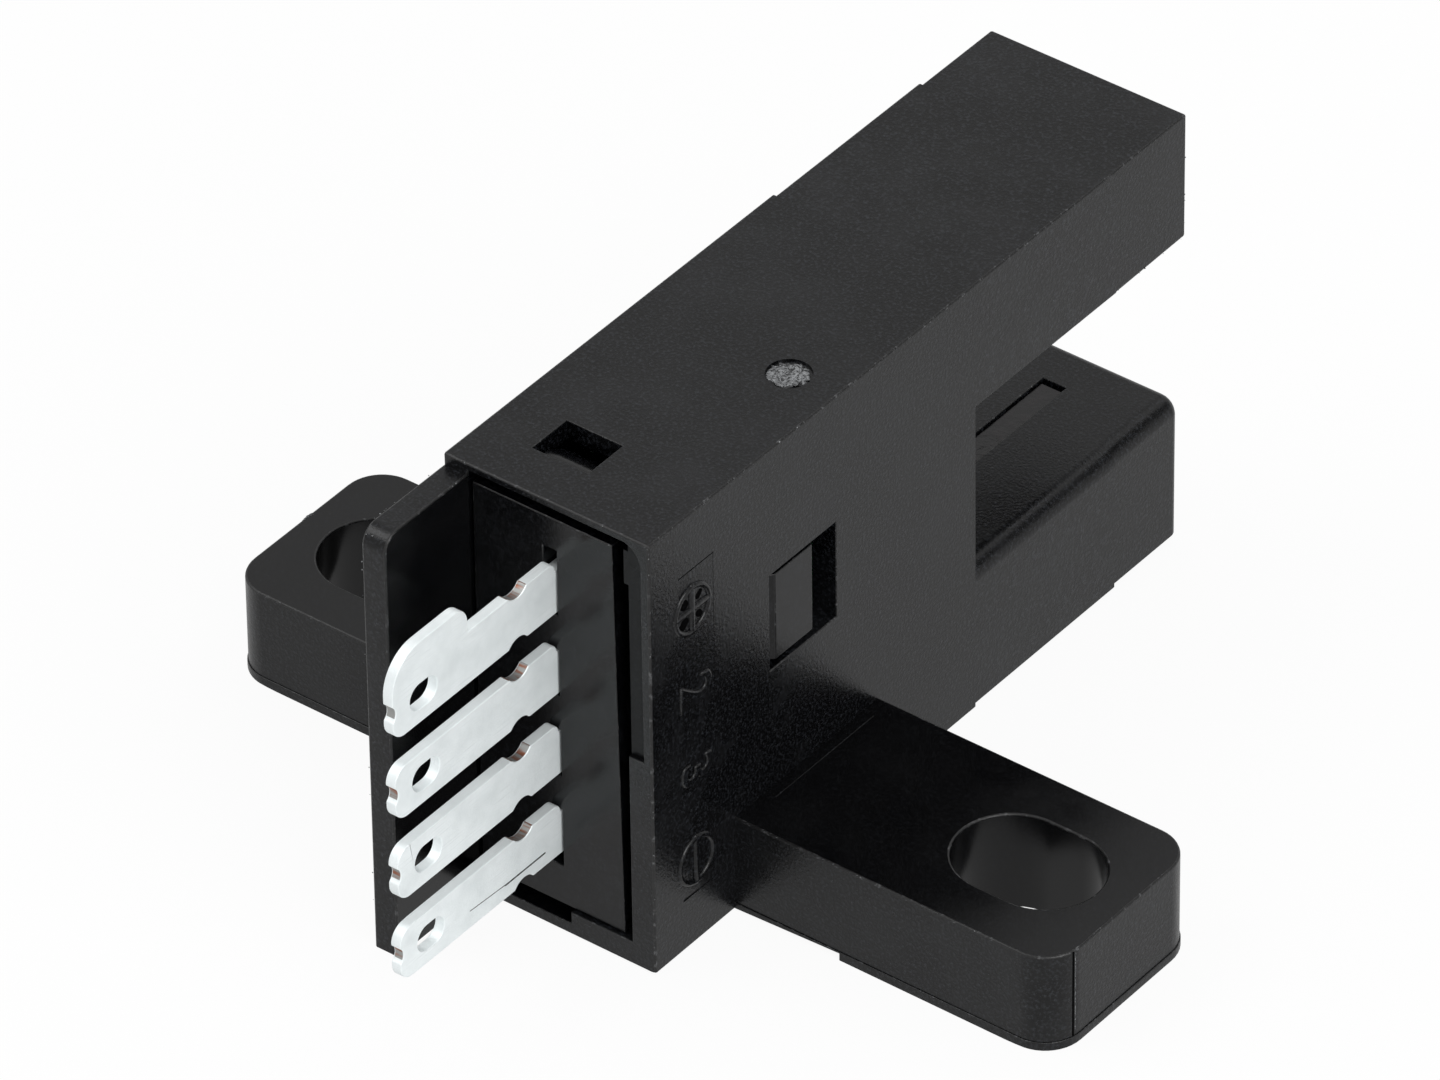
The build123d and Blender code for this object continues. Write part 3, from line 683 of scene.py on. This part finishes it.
class INTERRUPTER_OT_side_marks(bpy.types.Operator):
    """Raised signs and terminal numbers on the insert's face: plus, 2, 3 and minus"""
    bl_idname = "interrupter.side_marks"
    bl_label = "Side marks"

    def execute(self, context):
        sizes = context.scene.mark_sizes
        face_x = CASE_HALF_WIDTH - INSERT_DEPTH
        lines, pits = [], []

        # Signs in rings. Between the plus and its ring the mould left four pits; they are drawn as low
        # near-black spots, painted shade of the pits.
        signs = [
            (Vector((face_x, INSERT_MIDDLE_Y, 10.45 * MM)), True),
            (Vector((face_x, -4.5 * MM, 2.62 * MM)), False),
        ]
        for place, plus in signs:
            bpy.ops.object.select_all(action="DESELECT")
            bpy.ops.mesh.primitive_torus_add(
                major_segments=48, minor_segments=10, major_radius=sizes.ring_radius,
                minor_radius=sizes.stroke / 2, rotation=(0, pi / 2, 0))
            ring = bpy.context.object
            ring.scale = (1, 1, 2 * sizes.relief / sizes.stroke)
            ring.location = place
            bpy.ops.object.shade_smooth()
            lines.append(ring)
            reach = sizes.ring_radius
            bars = [Vector((0, 0, reach)), Vector((0, reach, 0))] if plus else [Vector((0, 0, reach))]
            for bar in bars:
                lines.append(raised_line(place - bar, place + bar, RIGHT, 1.3 * sizes.stroke, sizes.relief))
            if plus:
                for turn in range(4):
                    spot = Matrix.Rotation(pi / 4 + turn * pi / 2, 3, "X") @ Vector((0, 0.45 * MM, 0))
                    pits.append(raised_line(
                        place + spot * 0.85, place + spot * 1.05, RIGHT, 0.32 * MM, 0.02 * MM))

        # Digits read downwards, their tops towards the slot
        upright = Matrix(((0, 0, 1), (0, 1, 0), (-1, 0, 0))).to_4x4()
        for digit, height in (("2", 7.9 * MM), ("3", 5.4 * MM)):
            bpy.ops.object.select_all(action="DESELECT")
            bpy.ops.object.text_add(location=(0, 0, 0))
            glyph = bpy.context.object
            glyph.data.body = digit
            glyph.data.align_x = "CENTER"
            glyph.data.align_y = "CENTER"
            glyph.data.size = 1.3 * sizes.digit_height
            glyph.data.extrude = 0.4 * sizes.relief
            glyph.data.bevel_depth = 0.6 * sizes.relief
            glyph.data.bevel_resolution = 2
            bpy.ops.object.convert(target="MESH")
            glyph = bpy.context.object
            grow = sizes.digit_height / glyph.dimensions.y
            glyph.matrix_world = (
                Matrix.Translation(Vector((face_x, INSERT_MIDDLE_Y, height))) @ upright
                @ Matrix.Diagonal((grow, grow, 1, 1)))
            lines.append(glyph)
        finish_piece(joined(lines), "side_marks", "case_plastic", eroded_pbt(context.scene.case_sizes))
        # The pits take the near-black finish: painted shade
        finish_piece(joined(pits), "side_pits", "case_plastic", painted_pit_and_groove_shade())
        return {"FINISHED"}


class INTERRUPTER_OT_mould_marks(bpy.types.Operator):
    """Torn gates, lines where blocks of the mould met, and flakes of flash along the edges"""
    bl_idname = "interrupter.mould_marks"
    bl_label = "Mould marks"

    def torn_stub(self, place, radii, seed):
        """Rough stub that is left where a gate tore off."""
        bpy.ops.object.select_all(action="DESELECT")
        bpy.ops.mesh.primitive_ico_sphere_add(subdivisions=4, radius=1.0, location=(0, 0, 0))
        stub = bpy.context.object
        for vertex in stub.data.vertices:
            rough = noise.fractal(vertex.co * 2.6 + Vector((seed, 0, 0)), 0.8, 2.0, 4)
            vertex.co *= 1 + 0.35 * rough
        stub.scale = radii
        stub.location = place
        bpy.ops.object.shade_smooth()
        return stub

    def flakes(self, rng, start, end, count, width):
        """Torn flakes, scattered along an edge."""
        made = []
        for _ in range(count):
            place = start.lerp(end, rng.random())
            bpy.ops.object.select_all(action="DESELECT")
            bpy.ops.mesh.primitive_ico_sphere_add(subdivisions=1, radius=0.5, location=place)
            flake = bpy.context.object
            flake.scale = [width * rng.uniform(0.25, 1.0) for _ in range(3)]
            flake.rotation_euler = [rng.uniform(0, pi) for _ in range(3)]
            made.append(flake)
        return made

    def execute(self, context):
        sizes = context.scene.mark_sizes
        case = context.scene.case_sizes
        stubs = [
            self.torn_stub(
                GATE_CENTRE - Vector((0, 0, GATE_DEPTH)), (0.5 * MM, 0.46 * MM, 0.07 * MM), 1.0),
            self.torn_stub(at(-12.93, 0.24, 2.86), (0.07 * MM, 0.28 * MM, 0.1 * MM), 5.0),
        ]
        finish_piece(joined(stubs), "gate_scars", "case_plastic", torn_pbt())

        # Where the mould's halves met on the right ear
        ridge = raised_line(
            Vector((3.47 * MM, -1.7 * MM, EAR_TOP)), Vector((3.47 * MM, 2.3 * MM, EAR_TOP)),
            UP, 0.8 * sizes.ridge, 0.006 * MM)
        finish_piece(ridge, "parting_lines", "case_plastic", eroded_pbt(case))

        # Fine pale lines where two blocks of the mould met: down the ear's corner, and at the steps
        outward = Vector((0.97, -0.22, 0)).normalized()
        pale = [raised_line(
            at(12.952, -2.08, 0.4), at(12.952, -2.08, 2.86), outward, 0.35 * sizes.ridge, 0.008 * MM)]
        for step, inset in zip(MOULD_STEPS, MOULD_INSETS):
            pale.append(raised_line(
                Vector((CASE_HALF_WIDTH - inset, step, SLOT_HIGH + 0.1 * MM)),
                Vector((CASE_HALF_WIDTH - inset, step, CASE_TOP - 0.2 * MM)),
                RIGHT, 0.4 * sizes.ridge, 0.008 * MM))
        finish_piece(joined(pale), "mould_joints", "case_plastic", torn_pbt())

        # Painted shade: near-black raised lines for the shade in the groove down the ear's corner and under
        # the downward-facing wall at the insert's upper edge
        groove_shades = [
            raised_line(
                at(12.938, -2.15, 0.3), at(12.938, -2.15, 2.9), outward, 1.3 * sizes.ridge, 0.012 * MM),
            raised_line(
                Vector((CASE_HALF_WIDTH, INSERT_Y[0], INSERT_Z[1])),
                Vector((CASE_HALF_WIDTH, INSERT_Y[1], INSERT_Z[1])),
                RIGHT, 0.7 * sizes.ridge, 0.004 * MM),
        ]
        finish_piece(joined(groove_shades), "mould_grooves", "case_plastic", painted_pit_and_groove_shade())

        # Edges with flash: start, end and number of flakes
        half, top, end = CASE_HALF_WIDTH, CASE_TOP, CASE_END
        tip_half = half - MOULD_INSETS[1]
        runs = [
            ((-half, GUARD_END + 0.4 * MM, GUARD_TOP), (-half, end, GUARD_TOP), 7),
            ((-half, GUARD_END, 12.5 * MM), (-half, GUARD_END, 1.0 * MM), 8),
            ((GUARD_INNER_X, end - 0.9 * MM, GUARD_TOP), (GUARD_INNER_X, end, GUARD_TOP), 5),
            ((-half, GUARD_END + 0.1 * MM, 12.85 * MM),
             (GUARD_INNER_X, GUARD_END + 0.15 * MM, 12.95 * MM), 5),
            ((half, end, 0.5 * MM), (half, end, top), 12),
            ((half, end, top), (half, 6.9 * MM, top), 8),
            ((tip_half, 13.1 * MM, SLOT_HIGH), (tip_half, 15.9 * MM, SLOT_HIGH), 5),
            ((tip_half, 15.97 * MM, SLOT_HIGH), (tip_half, 15.97 * MM, top), 4),
            ((3.4 * MM, -2.97 * MM, EAR_TOP), (11.6 * MM, -2.97 * MM, EAR_TOP), 9),
            ((-11.6 * MM, -2.97 * MM, EAR_TOP), (-4.0 * MM, -2.97 * MM, EAR_TOP), 5),
            ((-half + 0.2 * MM, end, top), (half - 0.2 * MM, end, top), 6),
            ((0.49 * MM, SLIT_Y[1], SLOT_LOW), (0.5 * MM, SLIT_Y[1], SLOT_LOW), 2),
        ]
        rng = random.Random(7)
        flakes = []
        for first, last, count in runs:
            flakes += self.flakes(rng, Vector(first), Vector(last), count, sizes.flash)
        finish_piece(joined(flakes), "edge_flash", "case_plastic", torn_pbt())
        return {"FINISHED"}


class INTERRUPTER_OT_inner_parts(bpy.types.Operator):
    """Circuit board, emitter, receiver, filters and the small parts inside the case"""
    bl_idname = "interrupter.inner_parts"
    bl_label = "Inner parts"

    def execute(self, context):
        tin = matt_tin(context.scene.terminal_sizes)
        filter_plastic = inner_finish("Infrared-pass polycarbonate", "09080a", "120d10", 0.3, 0.2)
        resistor = inner_finish("Alumina chip with black film", "0d0e10", "1c1d20", 0.05, 0.35)
        epoxy = inner_finish("Transfer-moulded epoxy", "0b0b0c", "202122", 0.03, 0.5)
        finishes = {
            "circuit_board": inner_finish("Solder resist over glass cloth", "0f4a26", "1a6336", 0.25, 0.3),
            "emitter_package": inner_finish("Clear epoxy", "dfe4ee", "cfd6e6", 0.4, 0.08, transmission=0.8),
            "receiver_package": inner_finish("Infrared-pass epoxy", "0a070a", "160c12", 0.4, 0.1),
            "emitter_filter": filter_plastic,
            "receiver_filter": filter_plastic,
            "supply_capacitor": inner_finish("Barium titanate ceramic", "8a6a4a", "9c7c5a", 0.06, 0.45),
            "indicator_lamp": inner_finish("Clear resin over a white carrier", "ece6d8", "dcd4c2", 0.2, 0.15),
            "output_transistor": epoxy,
            "supply_diode": epoxy,
            "pull_up_resistor": resistor,
            "emitter_resistor": resistor,
            "lamp_resistor": resistor,
        }
        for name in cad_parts:
            if name.endswith("_lead"):
                finishes[name] = tin
        for name, finish in finishes.items():
            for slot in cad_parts[name].material_slots:
                slot.material = finish
        return {"FINISHED"}


class INTERRUPTER_OT_stage(bpy.types.Operator):
    """Pale floor, soft lamps and the camera"""
    bl_idname = "interrupter.stage"
    bl_label = "Stage"

    def lay_floor(self, colour):
        """Pale sheet. The camera sees it bright with a little of its real shading, and reflections greyer."""
        bpy.ops.object.select_all(action="DESELECT")
        bpy.ops.mesh.primitive_plane_add(size=2.0, location=(0, 0, 0))
        floor = bpy.context.object
        floor.name = "floor"
        material, tree = new_material("Matt paper")
        rays = node(tree, "ShaderNodeLightPath")
        to_camera = rays.outputs["Is Camera Ray"]
        mirrored = node(tree, "ShaderNodeMath", {
            0: rays.outputs["Is Glossy Ray"], 1: rays.outputs["Is Transmission Ray"]}, operation="MAXIMUM")
        mirrored = node(tree, "ShaderNodeMath", {
            0: mirrored.outputs[0], 1: FLOOR_MIRRORED}, operation="MULTIPLY")
        seen = node(tree, "ShaderNodeMath", {0: to_camera, 1: FLOOR_SEEN}, operation="MULTIPLY")
        share = node(tree, "ShaderNodeMath", {
            0: seen.outputs[0], 1: mirrored.outputs[0]}, operation="MAXIMUM")
        paper = node(tree, "ShaderNodeBsdfDiffuse", {"Color": colour})
        level = node(tree, "ShaderNodeMath", {0: to_camera, 1: FLOOR_MIRROR_GLOW}, operation="MAXIMUM")
        glow = node(tree, "ShaderNodeEmission", {
            "Color": linear_colour("ffffff"), "Strength": level.outputs[0]})
        finish_material(tree, node(tree, "ShaderNodeMixShader", {
            "Fac": share.outputs[0], 1: paper.outputs[0], 2: glow.outputs[0]}))
        floor.data.materials.append(material)

    def hang_card(self):
        """Grey card that only reflections see. The rounding along the lower prong reads as a dark band."""
        bpy.ops.object.select_all(action="DESELECT")
        bpy.ops.mesh.primitive_plane_add(size=CARD_SIZE, location=(0, 0, 0))
        card = bpy.context.object
        card.name = "card"
        toward = Vector(CARD_DIRECTION).normalized()
        turned = toward.to_track_quat("Z", "Y").to_matrix().to_4x4()
        card.matrix_world = Matrix.Translation(toward * CARD_DISTANCE) @ turned
        card.visible_camera = False
        material, tree = new_material("Grey card")
        finish_material(tree, node(tree, "ShaderNodeBsdfDiffuse", {"Color": linear_colour("7a7a7a")}))
        card.data.materials.append(material)

    def execute(self, context):
        sizes = context.scene.stage_sizes
        self.lay_floor(sizes.floor)
        self.hang_card()

        world = bpy.data.worlds.new("Soft room")
        context.scene.world = world
        world.use_nodes = True
        tree = world.node_tree
        tree.nodes.clear()
        rays = node(tree, "ShaderNodeLightPath")
        room = node(tree, "ShaderNodeBackground", {"Color": linear_colour("ffffff"), "Strength": sizes.sky})
        white = node(tree, "ShaderNodeBackground", {"Color": linear_colour("ffffff"), "Strength": 1.0})
        mixed = node(tree, "ShaderNodeMixShader", {
            "Fac": rays.outputs["Is Camera Ray"], 1: room.outputs[0], 2: white.outputs[0]})
        node(tree, "ShaderNodeOutputWorld", {"Surface": mixed.outputs[0]})

        # Name, direction from the object, distance, width and power in watts of each lamp
        lamps = [
            ("key_lamp", (-0.7, -0.5, 1.0), 0.45, 0.30, 0.55),
            ("fill_lamp", (1.0, -0.35, 0.7), 0.50, 0.35, 1.40),
            ("rim_lamp", (0.2, 1.0, 0.9), 0.50, 0.30, 0.08),
        ]
        middle = Vector(sizes.aim)
        for name, direction, distance, width, power in lamps:
            lamp = bpy.data.lights.new(name, "AREA")
            lamp.shape = "DISK"
            lamp.size = width
            lamp.energy = power
            holder = bpy.data.objects.new(name, lamp)
            context.scene.collection.objects.link(holder)
            away = Vector(direction).normalized()
            holder.location = middle + away * distance
            holder.rotation_euler = away.to_track_quat("Z", "Y").to_euler()

        turned = (
            Matrix.Rotation(sizes.azimuth, 4, "Z")
            @ Matrix.Rotation(pi / 2 - sizes.elevation, 4, "X")
            @ Matrix.Rotation(sizes.roll, 4, "Z"))
        camera = bpy.data.cameras.new("camera")
        camera.sensor_width = 36
        camera.lens = sizes.lens
        camera.clip_start = 0.01
        holder = bpy.data.objects.new("camera", camera)
        context.scene.collection.objects.link(holder)
        holder.matrix_world = Matrix.Translation(middle + turned.col[2].to_3d() * sizes.distance) @ turned
        context.scene.camera = holder
        context.scene.view_settings.view_transform = "Standard"
        return {"FINISHED"}


OPERATORS = (
    INTERRUPTER_OT_case,
    INTERRUPTER_OT_terminal_base,
    INTERRUPTER_OT_terminals,
    INTERRUPTER_OT_side_marks,
    INTERRUPTER_OT_mould_marks,
    INTERRUPTER_OT_inner_parts,
    INTERRUPTER_OT_stage,
)
SIZES = {
    "case_sizes": CaseSizes,
    "terminal_sizes": TerminalSizes,
    "mark_sizes": MarkSizes,
    "stage_sizes": StageSizes,
}


class INTERRUPTER_PT_pieces(bpy.types.Panel):
    """Lists the pieces and their sizes"""
    bl_label = "Photo interrupter"
    bl_space_type = "VIEW_3D"
    bl_region_type = "UI"
    bl_category = "Interrupter"

    def draw(self, context):
        for operator in OPERATORS:
            self.layout.operator(operator.bl_idname)
        for name, group in SIZES.items():
            box = self.layout.box()
            for prop in group.__annotations__:
                box.prop(getattr(context.scene, name), prop)


def register():
    for group in SIZES.values():
        bpy.utils.register_class(group)
    for name, group in SIZES.items():
        setattr(bpy.types.Scene, name, bpy.props.PointerProperty(type=group))
    for operator in OPERATORS:
        bpy.utils.register_class(operator)
    bpy.utils.register_class(INTERRUPTER_PT_pieces)


def unregister():
    bpy.utils.unregister_class(INTERRUPTER_PT_pieces)
    for operator in reversed(OPERATORS):
        bpy.utils.unregister_class(operator)
    for name, group in SIZES.items():
        delattr(bpy.types.Scene, name)
        bpy.utils.unregister_class(group)


def main():
    register()
    bpy.ops.interrupter.case()
    bpy.ops.interrupter.terminal_base()
    bpy.ops.interrupter.terminals()
    bpy.ops.interrupter.side_marks()
    bpy.ops.interrupter.mould_marks()
    bpy.ops.interrupter.inner_parts()
    bpy.ops.interrupter.stage()


if __name__ == "__main__":
    main()
